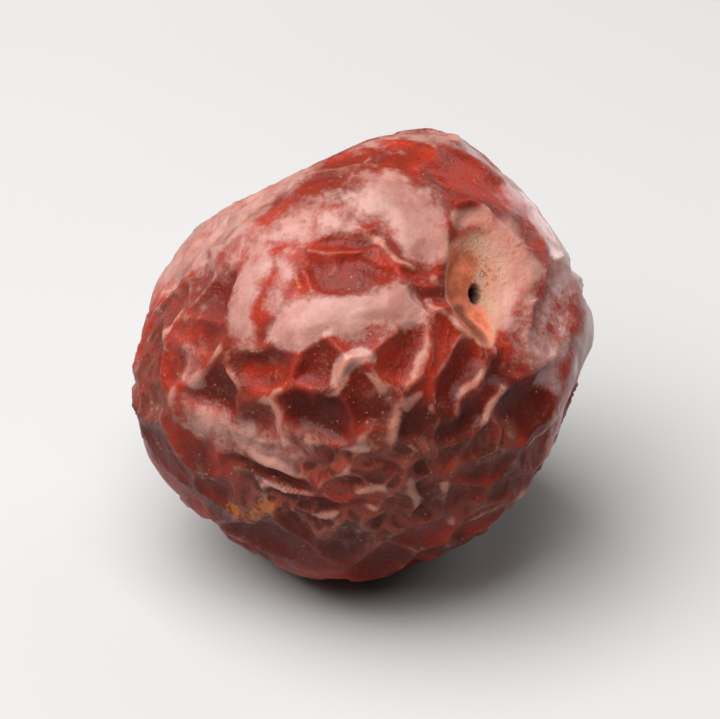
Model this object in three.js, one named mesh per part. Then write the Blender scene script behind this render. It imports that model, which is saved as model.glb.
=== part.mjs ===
// A dried jujube: one nearly round fruit whose skin has shrunk into a net of sharp crests round hollows,
// with a few swollen folds, a funnel with a pin hole where the stalk was, and a small flat spot to rest on.
//
// The fruit is a height field: each direction from its middle has one radius. It is drawn as seen from the
// front and a little above, with x to the right, y up the drawing and z towards the eye, and is turned
// upright at the end. Lengths are in millimetres.
import * as THREE from "three";
import { ConvexGeometry } from "three/addons/geometries/ConvexGeometry.js";
import { mergeVertices } from "three/addons/utils/BufferGeometryUtils.js";

// Driving dimensions
const MEAN_RADIUS = 12.5; // the sphere that the wrinkles are laid out on
const HALF_LENGTH = 12.6; // middle to either end, along the stem axis
const HALF_WIDTH = 12.25; // middle to the widest part of the side
const BARREL = 2.25; // exponent of the lengthwise section: 2 is an ellipse, more is fuller
const REST_DEPTH = 11.9; // middle down to the flat spot
const DRAWING_TILT = THREE.MathUtils.degToRad(32); // how far the drawing looks down on the fruit

// The stem end points up, to the right and towards the eye
const STEM = new THREE.Vector3(0.57, 0.33, Math.sqrt(1 - 0.57 ** 2 - 0.33 ** 2));
const DOWN = new THREE.Vector3(0, -Math.cos(DRAWING_TILT), -Math.sin(DRAWING_TILT));

// Sides that the fruit's neighbours pressed flatter: direction, and distance from the middle
const PRESSED_SIDES = [
  { towards: [-0.4, 0.92, 0.05], distance: 10.5 },
  { towards: [-0.85, 0.53, 0.1], distance: 11.4 },
  { towards: [0.57, 0.33, 0.75], distance: 12.0 },
  { towards: [0.83, 0.55, 0.05], distance: 12.7 },
  { towards: [0.97, -0.25, 0.0], distance: 12.3 },
  { towards: [0.74, -0.67, 0.05], distance: 12.3 },
  { towards: [-0.3, -0.2, -0.9], distance: 11.6 },
  { towards: [0.2, 0.8, -0.6], distance: 12.0 },
];
const PRESSED_SHARPNESS = 14; // higher gives a flatter side with a tighter edge
const LEAN = new THREE.Vector3(0.1, 0.6, 0); // how far the body bulges up the drawing and to the right
const LUMP_HEIGHT = 0.22;
const LUMP_LENGTH = 13;

// Funnel at the stem end, as half sizes measured from the pin hole
const FUNNEL = { left: 3.0, right: 2.9, above: 4.8, below: 3.7, depth: 1.2 };
const PIN_HOLE = { halfWidth: 0.42, halfHeight: 0.6, depth: 2.0 };
const BLOSSOM_END = { dimpleRadius: 2.0, dimpleDepth: 0.8, tipRadius: 0.6, tipHeight: 0.4 };

// Wrinkle net
const HOLLOW_DEPTH = 0.9; // depth of a hollow whose swell is -1
const WALL_LENGTH = 0.55; // how soon a hollow's wall flattens into its floor
const FOLD_HEIGHT = 0.8; // height of a fold whose swell is 1
const FOLD_LENGTH = 1.0; // how soon a fold's flank flattens into its top
const LIP_HEIGHT = 0.18; // extra rise of the crest between two hollows
const LIP_WIDTH = 0.22;
const CREST_ROUNDING = 0.06;
const CORNER_ROUNDING = 0.18; // blends the walls that meet in a hollow's corners
const CELL_GAP = 0.75; // least distance between neighbouring cells
const CELL_TRIES = 2600;
const NEIGHBOURS = 4;
const WIDE_BEND = 0.22; // how far the net's lines waver, over 5 mm and over 1.9 mm
const SMALL_BEND = 0.1;

// Mesh points: a spiral over the sphere, thinned out
const SPIRAL_POINTS = 26000;
const GOLDEN_SHARE = (Math.sqrt(5) - 1) / 2;
const CREST_SPACING = 0.36;
const FOOT_DISTANCE = 0.42; // from a crest to the row of points along the foot of its wall
const FOOT_SPACING = 0.4;
const SPACING = 0.75; // between the points on the floors
const SLIDE_REACH = 0.26; // the farthest that a point is slid onto a row
const SLIDE_STEPS = 3;
const LEAST_SLOPE = 0.1;
const LEAST_STEP = 0.05;
const HOLE_RINGS = [
  { share: 0.5, count: 8 },
  { share: 0.85, count: 12 },
  { share: 1.2, count: 14 },
  { share: 1.8, count: 14 },
];

// Each cell of the net is a rounded bar from one point of the drawing to another. A negative swell is a
// hollow, a positive one a swollen fold.
const SWOLLEN_FOLDS = [
  [0.9, 8.6, 3.2, 6.4, 1.5, 0.6],
  [-5.6, 6.6, -1.6, 7.6, 0.8, 0.35],
  [-6.7, 1.8, -5.6, 5.4, 0.6, 0.4],
  [-4.9, 2.9, -3.9, 5.4, 0.45, 0.28],
  [-3.6, 1.7, 2.3, 2.5, 0.55, 0.5],
  [-8.0, -3.9, -7.0, -4.3, 0.6, 0.45],
  [-6.6, -5.4, -5.2, -5.5, 0.45, 0.5],
  [-2.2, 8.6, -1.4, 8.7, 0.4, 0.2],
  [0.5, 4.85, 0.8, 4.85, 0.25, 0.1],
  [7.6, 1.6, 8.2, 4.6, 0.7, 0.25],
  [11.4, -0.6, 11.2, -1.8, 0.5, 0.3],
  [9.6, 8.6, 10.8, 6.4, 0.35, 0.2],
];
const UPPER_HOLLOWS = [
  [4.2, 9.6, 7.4, 8.6, 0.8, -0.6],
  [5.2, 11.0, 6.6, 10.6, 0.4, -0.4],
  [0.9, 10.5, 2.8, 10.4, 0.35, -0.45],
  [-1.4, 10.2, -0.8, 10.4, 0.3, -0.4],
  [-2.5, 9.3, -1.3, 9.7, 0.4, -0.5],
  [2.2, 11.4, 4.0, 11.6, 0.4, -0.3],
  [-0.4, 8.3, -0.2, 8.1, 0.25, -0.4],
  [0.2, 7.1, 1.5, 6.9, 0.22, -0.4],
  [2.3, 5.2, 2.9, 5.1, 0.2, -0.35],
  [-1.6, 5.4, 0.7, 5.8, 0.5, -0.7],
  [-2.3, 4.4, 1.3, 4.2, 0.5, -0.7],
  [2.2, 4.5, 3.0, 4.3, 0.3, -0.6],
  [3.0, 3.1, 4.0, 2.9, 0.45, -0.7],
  [-7.2, 4.5, -8.1, 2.4, 0.35, -0.8],
  [-9.7, 4.6, -8.7, 4.8, 0.4, -0.5],
  [-10.0, 3.6, -10.5, 2.7, 0.4, -0.5],
  [-3.6, 3.5, -3.3, 3.5, 0.2, -0.35],
  [-4.8, 2.1, -5.7, 1.4, 0.25, -0.5],
];
const MIDDLE_HOLLOWS = [
  [-9.0, 1.0, -8.3, 1.4, 0.4, -0.6],
  [-9.4, 0.4, -9.9, -0.6, 0.4, -0.4],
  [-11.3, 0.4, -11.4, -2.0, 0.5, -0.5],
  [-6.3, -0.6, -4.5, -0.5, 0.75, -0.85],
  [-2.9, -0.9, -1.9, 0.2, 0.6, -0.9],
  [-1.2, 0.8, 0.6, 0.9, 0.4, -0.7],
  [1.5, -0.1, 2.3, 0.8, 0.4, -0.7],
  [4.5, 0.8, 5.0, 1.2, 0.5, -0.3],
  [5.2, -1.8, 5.8, -0.2, 0.6, -0.8],
  [7.4, -0.5, 8.2, 0.6, 0.5, -0.6],
  [8.5, 1.2, 9.0, 2.3, 0.3, -0.4],
  [10.0, 2.2, 10.9, 3.0, 0.5, -0.45],
  [-8.3, -2.6, -7.6, -1.2, 0.75, -0.95],
  [-6.2, -3.0, -5.2, -3.6, 0.45, -0.6],
  [-5.3, -4.5, -5.2, -4.8, 0.22, -0.5],
  [-3.3, -3.2, -0.8, -3.4, 0.75, -1.15],
  [-0.2, -1.9, 0.5, -3.0, 0.5, -0.9],
];
const LOWER_HOLLOWS = [
  [-3.8, -5.4, -2.5, -5.9, 0.5, -0.49],
  [-1.6, -5.3, -0.7, -5.1, 0.4, -0.49],
  [-7.2, -6.4, -4.6, -6.6, 0.35, -0.63],
  [0.5, -5.6, 1.5, -5.4, 0.5, -0.42],
  [-1.0, -6.7, 0.6, -6.4, 0.35, -0.42],
  [2.6, -3.9, 3.4, -2.6, 0.6, -0.67],
  [4.4, -3.7, 6.0, -3.0, 0.45, -0.60],
  [8.0, -3.6, 9.3, -2.0, 0.8, -0.70],
  [4.4, -5.0, 6.6, -4.3, 0.35, -0.56],
  [6.2, -5.8, 7.2, -5.6, 0.5, -0.42],
  [9.0, -5.3, 9.8, -5.0, 0.4, -0.42],
  [7.2, -7.4, 8.2, -7.0, 0.5, -0.42],
  [5.2, -8.0, 5.8, -7.6, 0.5, -0.42],
  [3.2, -8.5, 3.4, -7.0, 0.5, -0.56],
  [1.2, -9.5, 2.0, -8.2, 0.5, -0.49],
  [-5.2, -8.3, -0.8, -8.1, 0.35, -0.56],
  [-1.6, -7.6, -0.9, -7.3, 0.3, -0.35],
  [-4.2, -9.5, -2.8, -9.4, 0.4, -0.49],
  [-1.2, -10.2, 0.5, -10.4, 0.5, -0.49],
  [3.0, -10.2, 4.2, -9.8, 0.5, -0.49],
  [-6.7, -7.4, -6.3, -7.6, 0.4, -0.35],
  [-11.0, -4.5, -10.6, -5.3, 0.5, -0.35],
  [-9.6, -4.8, -9.0, -5.6, 0.5, -0.42],
  [-8.8, -6.8, -8.2, -7.3, 0.5, -0.42],
  [3.0, -5.9, 3.6, -5.4, 0.4, -0.35],
];

// Long crests that run on from cell to cell: height, width and the points they pass through
const LONG_CRESTS = [
  {
    height: 0.3, width: 0.5,
    path: [[5, 12.1], [7.5, 10.7], [8.5, 9.7], [9.3, 7.5], [10.2, 5.3], [11.8, 3.4], [12.3, 0.5]],
  },
  {
    height: 0.28, width: 0.35,
    path: [[4.6, 7.4], [4.2, 4.5], [4.2, 3.4], [4.45, 2.4], [5.3, 1.75], [6.4, 0.6], [7.2, 0.55]],
  },
  { height: 0.30, width: 0.45, path: [[-1.5, -1], [-0.6, -0.35], [0.4, 0.1]] },
  { height: 0.33, width: 0.45, path: [[2, -1.4], [2.7, -0.4], [3.5, 1.5], [3.6, 2.1]] },
  { height: 0.23, width: 0.3, path: [[0, -1.3], [0.8, -1.5], [2.2, -2.2], [3.2, -1.6]] },
  { height: 0.23, width: 0.3, path: [[6.8, 0], [6.7, -1], [5.3, -2.5], [4.3, -2.9], [4, -2.4]] },
  { height: 0.23, width: 0.3, path: [[-0.1, 6.5], [0.8, 5.9], [1.8, 5], [3.1, 4.75]] },
  { height: 0.25, width: 0.35, path: [[-8.6, -0.6], [-7.8, 0.5]] },
  { height: 0.25, width: 0.4, path: [[-11, 0.9], [-10.2, 2], [-9.5, 2.7]] },
  { height: 0.30, width: 0.4, path: [[-8.9, -0.8], [-9.6, -1.6], [-10, -2.6], [-10.1, -4]] },
  { height: 0.25, width: 0.28, path: [[-7.2, -0.5], [-6.2, -2.2], [-4.8, -2.6], [-4.6, -3.6], [-4.5, -4.3]] },
  { height: 0.25, width: 0.28, path: [[-3.5, 0.5], [-3.4, -0.3], [-3.8, -1.3], [-4.6, -2.3]] },
  { height: 0.23, width: 0.28, path: [[-3.1, -1.8], [-2, -2.3], [-1.3, -2.3], [-1, -1.6]] },
  { height: 0.23, width: 0.25, path: [[-3.4, -4.6], [-1.5, -4.7], [0.4, -4.5], [0.55, -3.8]] },
  { height: 0.28, width: 0.3, path: [[-0.3, -5.6], [-3, -7], [-4, -7.3], [-5.3, -7.6], [-5.9, -8]] },
  { height: 0.23, width: 0.3, path: [[-4, -9], [-1.5, -8.7], [0, -8.3], [1, -7.8]] },
  { height: 0.20, width: 0.3, path: [[-0.2, -9.3], [0.6, -8.7], [1.2, -8.2]] },
  { height: 0.20, width: 0.25, path: [[-0.5, -7.3], [0.3, -7.1], [1, -6.9]] },
  { height: 0.30, width: 0.35, path: [[4, -4.7], [6.5, -3.4], [7, -2.5], [7.6, -1.9], [8.6, -1]] },
  { height: 0.23, width: 0.3, path: [[9.2, -4.8], [10.2, -4.3]] },
  { height: 0.23, width: 0.3, path: [[4.6, -6.8], [4.5, -8], [5, -9.3]] },
  { height: 0.20, width: 0.3, path: [[2.4, -6.6], [2.7, -8.5]] },
  { height: 0.30, width: 0.4, path: [[10.2, -2.2], [10.4, -5], [10.1, -6], [9.2, -7], [6.5, -9]] },
  { height: 0.18, width: 0.25, path: [[-5.9, -5.95], [-4.7, -6]] },
  { height: 0.20, width: 0.3, path: [[1.5, -2.2], [1.4, -3.4], [1.2, -4.4]] },
];

// Steps from 0 to 1 as value goes from low to high, level at both ends
function ease(low, high, value) {
  return THREE.MathUtils.smoothstep(value, low, high);
}

// A repeatable draw between 0 and 1
function draw(index, salt) {
  const value = Math.sin(index * 12.9898 + salt * 78.233) * 43758.5453;
  return value - Math.floor(value);
}

// The direction that two draws pick, even over the sphere
function drawnDirection(first, second) {
  const z = 1 - 2 * first;
  const ring = Math.sqrt(1 - z * z);
  const turn = 2 * Math.PI * second;
  return new THREE.Vector3(ring * Math.cos(turn), ring * Math.sin(turn), z);
}

// Smooth noise of about unit size: a sum of plane waves in drawn directions
function makeWaves(wavelength, count, salt) {
  const waves = Array.from({ length: count }, (_, i) => ({
    direction: drawnDirection(draw(i + 1, salt), draw(i + 1, salt + 0.37)),
    pitch: (2 * Math.PI) / (wavelength * (0.75 + 0.5 * draw(i + 1, salt + 0.71))),
    phase: 2 * Math.PI * draw(i + 1, salt + 0.93),
  }));
  const scale = Math.sqrt(2 / count);
  return (point) =>
    scale * waves.reduce((sum, w) => sum + Math.cos(point.dot(w.direction) * w.pitch + w.phase), 0);
}

// The point of the mean sphere that a point of the drawing stands for, kept off the very edge
function onFront([x, y]) {
  const reach = 0.975 * MEAN_RADIUS;
  const shrink = Math.min(1, reach / Math.hypot(x, y));
  const [a, b] = [x * shrink, y * shrink];
  return new THREE.Vector3(a, b, Math.sqrt(MEAN_RADIUS ** 2 - a * a - b * b));
}

function drawnCell([x0, y0, x1, y1, halfWidth, swell]) {
  return { bar: new THREE.Line3(onFront([x0, y0]), onFront([x1, y1])), halfWidth, swell };
}

// A cell for the rest of the skin: a bar roughly along the fruit's length, mostly a hollow
function scatteredCell(i) {
  const middle = drawnDirection(draw(i, 1), draw(i, 2));
  const along = STEM.clone().addScaledVector(middle, -middle.dot(STEM)).normalize();
  const across = new THREE.Vector3().crossVectors(middle, along);
  const turn = 1.3 * (draw(i, 3) - 0.5);
  const run = along.multiplyScalar(Math.cos(turn)).addScaledVector(across, Math.sin(turn));
  const halfLength = 0.6 + 2.2 * draw(i, 4);
  const centre = middle.multiplyScalar(MEAN_RADIUS);
  const start = centre.clone().addScaledVector(run, -halfLength);
  const end = centre.clone().addScaledVector(run, halfLength);
  const isHollow = draw(i, 7) > 0.2;
  return {
    bar: new THREE.Line3(start, end),
    halfWidth: 0.3 + 0.4 * draw(i, 5),
    swell: isHollow ? -0.35 - 0.5 * draw(i, 6) : 0.2 + 0.3 * draw(i, 6),
  };
}

function barPoints(bar) {
  return [bar.start, bar.getCenter(new THREE.Vector3()), bar.end];
}

function areApart(cell, other) {
  const least = cell.halfWidth + other.halfWidth + CELL_GAP;
  return barPoints(cell.bar).every((p) => barPoints(other.bar).every((q) => p.distanceTo(q) >= least));
}

function makeCells() {
  const cells = [...SWOLLEN_FOLDS, ...UPPER_HOLLOWS, ...MIDDLE_HOLLOWS, ...LOWER_HOLLOWS].map(drawnCell);
  for (let i = 1; i < CELL_TRIES; i += 1) {
    const cell = scatteredCell(i);
    if (cells.every((other) => areApart(cell, other))) cells.push(cell);
  }
  return cells;
}

const cells = makeCells();
const longCrests = LONG_CRESTS.map(({ height, width, path }) => {
  const points = path.map(onFront);
  const pieces = points.slice(1).map((point, i) => new THREE.Line3(points[i], point));
  return { height, width, pieces };
});
const lumps = makeWaves(LUMP_LENGTH, 7, 40);
const wideBends = [10, 11, 12].map((salt) => makeWaves(5, 8, salt));
const smallBends = [20, 21, 22].map((salt) => makeWaves(1.9, 8, salt));

function nearestOn(line, point) {
  return line.closestPointToPoint(point, true, new THREE.Vector3());
}

function distanceToLine(line, point) {
  return nearestOn(line, point).distanceTo(point);
}

// Where a point of the mean sphere looks up the net: the net's lines waver by these small shifts
function bent(point) {
  const shift = (waves) => new THREE.Vector3(...waves.map((wave) => wave(point)));
  return point
    .clone()
    .addScaledVector(shift(wideBends), WIDE_BEND)
    .addScaledVector(shift(smallBends), SMALL_BEND);
}

// The nearest cells to a point, the one that it lies in first
function nearCells(point) {
  return cells
    .map((cell) => ({ cell, reach: distanceToLine(cell.bar, point) - cell.halfWidth }))
    .sort((a, b) => a.reach - b.reach)
    .slice(0, NEIGHBOURS + 1);
}

// Distance with its sharp zero rounded off
function rounded(distance) {
  return Math.hypot(distance, CREST_ROUNDING) - CREST_ROUNDING;
}

// The plain body: a barrel about the stem axis, blended with the pressed sides and leaning a little
function bodyRadius(direction) {
  const cosine = direction.dot(STEM);
  const sine = Math.sqrt(Math.max(0, 1 - cosine * cosine));
  const section = (Math.abs(cosine) / HALF_LENGTH) ** BARREL + (sine / HALF_WIDTH) ** BARREL;
  let sum = section ** (PRESSED_SHARPNESS / BARREL);
  for (const { towards, distance } of PRESSED_SIDES) {
    const facing = direction.dot(new THREE.Vector3(...towards).normalize());
    sum += Math.max(0, facing / distance) ** PRESSED_SHARPNESS;
  }
  return sum ** (-1 / PRESSED_SHARPNESS) + direction.dot(LEAN);
}

// The net: level on the border between two cells, falling or swelling from there to each cell's floor
function netRelief(point) {
  const near = nearCells(point);
  const borders = near.slice(1).map(({ reach }) => (reach - near[0].reach) / 2);
  const crowding = borders.reduce((sum, border) => sum + Math.exp(-border / CORNER_ROUNDING), 0);
  const inside = Math.max(0, -CORNER_ROUNDING * Math.log(crowding));
  const { swell } = near[0].cell;
  const floor = 1 - Math.exp(-rounded(inside) / (swell < 0 ? WALL_LENGTH : FOLD_LENGTH));
  const betweenHollows = swell < 0 && near[1].cell.swell < 0;
  const lip = betweenHollows ? LIP_HEIGHT * Math.exp(-Math.hypot(borders[0], CREST_ROUNDING) / LIP_WIDTH) : 0;
  return { hollow: swell * floor * (swell < 0 ? HOLLOW_DEPTH : FOLD_HEIGHT), lip };
}

function crestRelief(point) {
  return Math.max(
    ...longCrests.map(({ height, width, pieces }) => {
      const distance = Math.min(...pieces.map((piece) => distanceToLine(piece, point)));
      return height * Math.exp(-rounded(distance) / width);
    }),
  );
}

// The funnel: steep on its left, easing out on its right; share is 0 at the pin hole and 1 at the rim
const funnelRight = new THREE.Vector3(1, 0, 0).addScaledVector(STEM, -STEM.x).normalize();
const funnelUp = new THREE.Vector3().crossVectors(STEM, funnelRight);

function stemEnd(direction) {
  if (direction.dot(STEM) < 0) return { share: Infinity, drop: 0 };
  const x = direction.dot(funnelRight) * MEAN_RADIUS;
  const y = direction.dot(funnelUp) * MEAN_RADIUS;
  const sideways = x / (x < 0 ? FUNNEL.left : FUNNEL.right);
  const upward = y / (y < 0 ? FUNNEL.below : FUNNEL.above);
  const share = Math.hypot(sideways, upward);
  const leftness = share > 0 ? 0.5 - (0.5 * sideways) / share : 0.5;
  const funnel = FUNNEL.depth * (1 - ease(0.1 + 0.55 * leftness ** 2, 1.05, share));
  const hole = Math.hypot(x / PIN_HOLE.halfWidth, y / PIN_HOLE.halfHeight);
  return { share, drop: funnel + PIN_HOLE.depth * (1 - ease(0.5, 1.15, hole)) };
}

function blossomEnd(direction) {
  if (direction.dot(STEM) > 0) return 0;
  const off = MEAN_RADIUS * Math.sqrt(Math.max(0, 1 - direction.dot(STEM) ** 2));
  const dimple = BLOSSOM_END.dimpleDepth * Math.exp(-((off / BLOSSOM_END.dimpleRadius) ** 2));
  return BLOSSOM_END.tipHeight * Math.exp(-((off / BLOSSOM_END.tipRadius) ** 2)) - dimple;
}

function fruitRadius(direction) {
  const point = direction.clone().multiplyScalar(MEAN_RADIUS);
  const netPoint = bent(point);
  const { hollow, lip } = netRelief(netPoint);
  const { share, drop } = stemEnd(direction);
  const outsideFunnel = ease(0.75, 1, share);
  const under = direction.dot(DOWN);
  const awayFromRest = 1 - ease(0.9, 0.975, under);
  const relief = hollow * outsideFunnel + Math.max(crestRelief(netPoint), lip * outsideFunnel);
  const radius =
    bodyRadius(direction) + LUMP_HEIGHT * lumps(point) + relief * awayFromRest - drop + blossomEnd(direction);
  return under > 0.5 ? Math.min(radius, REST_DEPTH / under) : radius;
}

// How far a point is from the nearest crest, and in which direction
function stepToCrest(point) {
  const lines = longCrests.flatMap(({ pieces }) => pieces);
  const toLines = lines.map((line) => nearestOn(line, point).sub(point));
  const toLine = toLines.reduce((best, step) => (step.lengthSq() < best.lengthSq() ? step : best));
  if (toLine.length() < SLIDE_REACH) return toLine;
  const [own, next] = nearCells(point);
  const fromOwn = point.clone().sub(nearestOn(own.cell.bar, point)).normalize();
  const fromNext = point.clone().sub(nearestOn(next.cell.bar, point)).normalize();
  const slope = fromNext.sub(fromOwn).multiplyScalar(0.5);
  const border = (next.reach - own.reach) / 2;
  return slope.multiplyScalar(-border / Math.max(slope.lengthSq(), LEAST_SLOPE));
}

// The point slid sideways until it is this far from its nearest crest, or nothing if that is out of reach
function slidTo(distance, start) {
  const point = start.clone();
  for (let i = 0; i < SLIDE_STEPS; i += 1) {
    const step = stepToCrest(bent(point));
    const share = 1 - distance / Math.max(step.length(), LEAST_STEP);
    point.addScaledVector(step, share).setLength(MEAN_RADIUS);
  }
  return point.distanceTo(start) < SLIDE_REACH ? point : null;
}

// Rings of points round the pin hole, with one in its middle
function holePoints() {
  const middle = STEM.clone().setLength(MEAN_RADIUS);
  const rings = HOLE_RINGS.flatMap(({ share, count }) =>
    Array.from({ length: count }, (_, i) => {
      const turn = (2 * Math.PI * i) / count;
      return middle
        .clone()
        .addScaledVector(funnelRight, share * PIN_HOLE.halfWidth * Math.cos(turn))
        .addScaledVector(funnelUp, share * PIN_HOLE.halfHeight * Math.sin(turn))
        .setLength(MEAN_RADIUS);
    }),
  );
  return [middle, ...rings];
}

// Points of the mean sphere for the mesh: round the pin hole, then along the crests, along the feet of their
// walls and on the floors, each kept only if it leaves a gap to those before it
function meshPoints() {
  const spiral = Array.from({ length: SPIRAL_POINTS }, (_, i) =>
    drawnDirection((i + 0.5) / SPIRAL_POINTS, i * GOLDEN_SHARE).multiplyScalar(MEAN_RADIUS),
  );
  const onCrests = spiral.map((point) => slidTo(0, point));
  const onFeet = spiral.map((point) => slidTo(FOOT_DISTANCE, point));
  const kept = holePoints();
  const keep = (point, gap) => {
    if (kept.every((other) => other.distanceTo(point) >= gap)) kept.push(point);
  };
  onCrests.filter((point) => point).forEach((point) => keep(point, CREST_SPACING));
  onFeet.filter((point) => point).forEach((point) => keep(point, FOOT_SPACING));
  spiral.forEach((point) => keep(point, SPACING));
  return kept;
}

// The hull of points on a sphere joins each to its neighbours; then each is moved to the fruit's radius
function makeFruitGeometry() {
  const hull = new ConvexGeometry(meshPoints());
  hull.deleteAttribute("normal");
  const geometry = mergeVertices(hull);
  const position = geometry.getAttribute("position");
  const vertex = new THREE.Vector3();
  for (let i = 0; i < position.count; i += 1) {
    const direction = vertex.fromBufferAttribute(position, i).normalize().clone();
    const { x, y, z } = direction.clone().multiplyScalar(fruitRadius(direction));
    position.setXYZ(i, x, y, z);
  }
  geometry.rotateX(Math.PI / 2 - DRAWING_TILT);
  geometry.computeBoundingBox();
  const centre = geometry.boundingBox.getCenter(new THREE.Vector3());
  geometry.translate(-centre.x, -centre.y, REST_DEPTH);
  geometry.computeVertexNormals();
  return geometry;
}

const skin = new THREE.MeshStandardMaterial({ color: 0x8c2a1e, roughness: 0.45, metalness: 0 });
const fruit = new THREE.Mesh(makeFruitGeometry(), skin);
fruit.name = "fruit";

const jujube = new THREE.Group();
jujube.name = "jujube";
jujube.add(fruit);

export default jujube;
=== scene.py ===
"""Dresses a dried jujube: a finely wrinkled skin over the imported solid, on a pale floor in soft light.

The skin is a height field like the solid under it: each direction from the fruit's middle has one radius.
It is drawn as seen from the front and a little above, with x to the right, y up the drawing and z towards
the eye, and is turned upright at the end. Its lengths are in millimetres until they enter a mesh, and
Blender's are in metres.
"""
from __future__ import annotations

import logging
import math
from dataclasses import dataclass, field
from enum import Enum
from typing import Any, Callable, NamedTuple, Sequence

import bpy
import numpy as np
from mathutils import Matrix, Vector
from numpy.typing import NDArray

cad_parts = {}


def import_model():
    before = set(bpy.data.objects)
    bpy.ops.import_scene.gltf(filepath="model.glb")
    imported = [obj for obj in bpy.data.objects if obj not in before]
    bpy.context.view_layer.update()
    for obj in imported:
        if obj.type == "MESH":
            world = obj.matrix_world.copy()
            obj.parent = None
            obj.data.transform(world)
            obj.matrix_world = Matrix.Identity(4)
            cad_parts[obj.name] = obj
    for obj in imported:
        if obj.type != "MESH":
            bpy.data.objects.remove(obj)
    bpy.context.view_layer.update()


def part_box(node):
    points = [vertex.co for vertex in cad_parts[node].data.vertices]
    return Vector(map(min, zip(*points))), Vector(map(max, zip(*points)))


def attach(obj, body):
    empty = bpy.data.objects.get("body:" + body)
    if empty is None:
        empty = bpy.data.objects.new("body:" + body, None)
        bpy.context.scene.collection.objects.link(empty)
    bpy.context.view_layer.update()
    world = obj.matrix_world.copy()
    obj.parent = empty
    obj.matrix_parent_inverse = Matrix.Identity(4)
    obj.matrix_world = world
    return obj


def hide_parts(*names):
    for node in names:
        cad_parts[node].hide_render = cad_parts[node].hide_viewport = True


Array = NDArray[np.float64]
Colour = tuple[float, float, float]
Span = tuple[float, float]

MILLIMETRE = 0.001
BLOCK = 16384
TINY = 1e-9
FAR = 99.0
DRAW_STEP = 12.9898
DRAW_SALT = 78.233
DRAW_SPREAD = 43758.5453
NOISE_MIDDLE = 0.5
# A Mix node's colour sockets, by number because its other kinds share their names.
MIX_SOCKETS = (0, 6, 7)
MIX_RESULT = 2
LOG = logging.getLogger("jujube")


class Trait(Enum):
    """What the skin stores at each point for its finish to read."""

    SWELL = "swell"
    CREST = "crest"
    EDGE = "edge"
    WRINKLE = "wrinkle"
    FUNNEL = "funnel"
    FUNNEL_WALL = "funnel_wall"
    PIN_HOLE = "pin_hole"
    FLAW = "flaw"
    BLOOM = "bloom"
    SHADE = "shade"
    FILM_AND_SHEEN = "film_and_sheen"
    PAINTED_HIGHLIGHT = "painted_highlight"
    DUST = "dust"


class Draw(Enum):
    """What a scattered cell draws for itself."""

    HEIGHT = 1
    ROUND = 2
    TURN = 3
    REACH = 4
    WIDTH = 5
    DEPTH = 6
    KIND = 7


class Arithmetic(Enum):
    """The sums that a shader works out."""

    ADD = "ADD"
    SUBTRACT = "SUBTRACT"
    MULTIPLY = "MULTIPLY"


class Bar(NamedTuple):
    """A rounded bar of the drawing: its two ends, its half width, and a swell, a height or a strength."""

    x0: float
    y0: float
    x1: float
    y1: float
    width: float
    value: float


class Crest(NamedTuple):
    """A long crest that runs on from cell to cell, through points of the drawing."""

    height: float
    width: float
    path: tuple[tuple[float, float], ...]


class PressedSide(NamedTuple):
    """A side that was pressed flatter: its direction and its distance from the middle."""

    towards: tuple[float, float, float]
    distance: float


# The wrinkle net's cells on the drawn side, from its top to its bottom. A negative swell is a hollow.
SWOLLEN_FOLDS = (
    Bar(0.9, 8.6, 3.2, 6.4, 1.5, 0.6),
    Bar(-5.6, 6.6, -1.6, 7.6, 0.8, 0.35),
    Bar(-6.7, 1.8, -5.6, 5.4, 0.6, 0.4),
    Bar(-4.9, 2.9, -3.9, 5.4, 0.45, 0.28),
    Bar(-3.6, 1.7, 2.3, 2.5, 0.55, 0.5),
    Bar(-8.0, -3.9, -7.0, -4.3, 0.6, 0.45),
    Bar(-6.6, -5.4, -5.2, -5.5, 0.45, 0.5),
    Bar(-2.2, 8.6, -1.4, 8.7, 0.4, 0.2),
    Bar(0.5, 4.85, 0.8, 4.85, 0.25, 0.1),
    Bar(7.6, 1.6, 8.2, 4.6, 0.7, 0.25),
    Bar(11.4, -0.6, 11.2, -1.8, 0.5, 0.3),
    Bar(9.6, 8.6, 10.8, 6.4, 0.35, 0.2),
)
UPPER_HOLLOWS = (
    Bar(4.2, 9.6, 7.4, 8.6, 0.8, -0.6),
    Bar(5.2, 11.0, 6.6, 10.6, 0.4, -0.4),
    Bar(0.9, 10.5, 2.8, 10.4, 0.35, -0.45),
    Bar(-1.4, 10.2, -0.8, 10.4, 0.3, -0.4),
    Bar(-2.5, 9.3, -1.3, 9.7, 0.4, -0.5),
    Bar(2.2, 11.4, 4.0, 11.6, 0.4, -0.3),
    Bar(-0.4, 8.3, -0.2, 8.1, 0.25, -0.4),
    Bar(0.2, 7.1, 1.5, 6.9, 0.22, -0.4),
    Bar(2.3, 5.2, 2.9, 5.1, 0.2, -0.35),
    Bar(-1.6, 5.4, 0.7, 5.8, 0.5, -0.7),
    Bar(-2.3, 4.4, 1.3, 4.2, 0.5, -0.7),
    Bar(2.2, 4.5, 3.0, 4.3, 0.3, -0.6),
    Bar(3.0, 3.1, 4.0, 2.9, 0.45, -0.7),
    Bar(-7.2, 4.5, -8.1, 2.4, 0.35, -0.8),
    Bar(-9.7, 4.6, -8.7, 4.8, 0.4, -0.5),
    Bar(-10.0, 3.6, -10.5, 2.7, 0.4, -0.5),
    Bar(-3.6, 3.5, -3.3, 3.5, 0.2, -0.35),
    Bar(-4.8, 2.1, -5.7, 1.4, 0.25, -0.5),
)
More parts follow.
